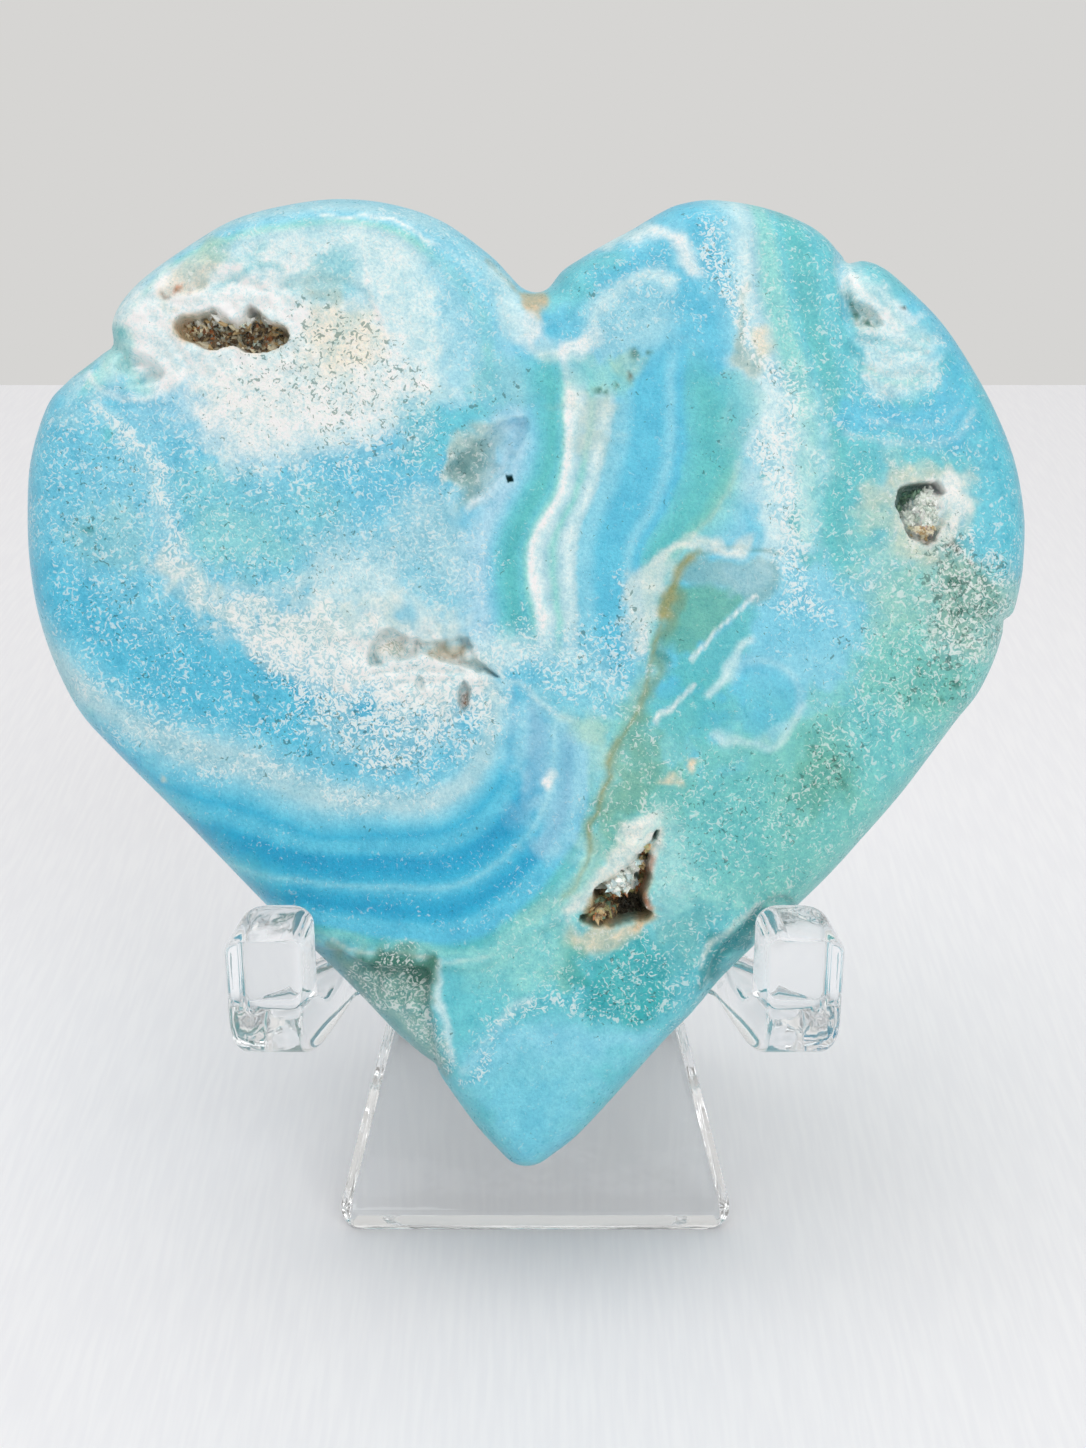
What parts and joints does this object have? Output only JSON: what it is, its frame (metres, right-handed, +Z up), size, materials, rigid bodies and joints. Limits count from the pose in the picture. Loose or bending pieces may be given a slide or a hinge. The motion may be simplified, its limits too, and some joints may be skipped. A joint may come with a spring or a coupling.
{
  "type": "polished calcite heart on a clear easel",
  "caption": "Polished banded blue calcite heart with crystal-lined hollows, leaning back on the hooks of a small clear plastic easel.",
  "frame": {"origin": "on the table, under the middle of the whole object's outer box", "axes": "+Z up; -Y towards the viewer, the way the polished face looks; +X to the viewer's right"},
  "size_m": [0.1004, 0.0508, 0.1047],
  "materials": {
    "banded_calcite": "polished, banded blue, teal and white",
    "clear_plastic": "clear, glossy",
    "brown_crystals": "small rough crystals, brown to cream",
    "pale_crystals": "small rough crystals, white to green-grey"
  },
  "bodies": {
    "root": {"heart": "banded_calcite", "easel": "clear_plastic", "crystal_crust_upper_left": "brown_crystals", "crystal_crust_lower": "brown_crystals", "crystal_crust_right": "pale_crystals"}
  },
  "joints": []
}
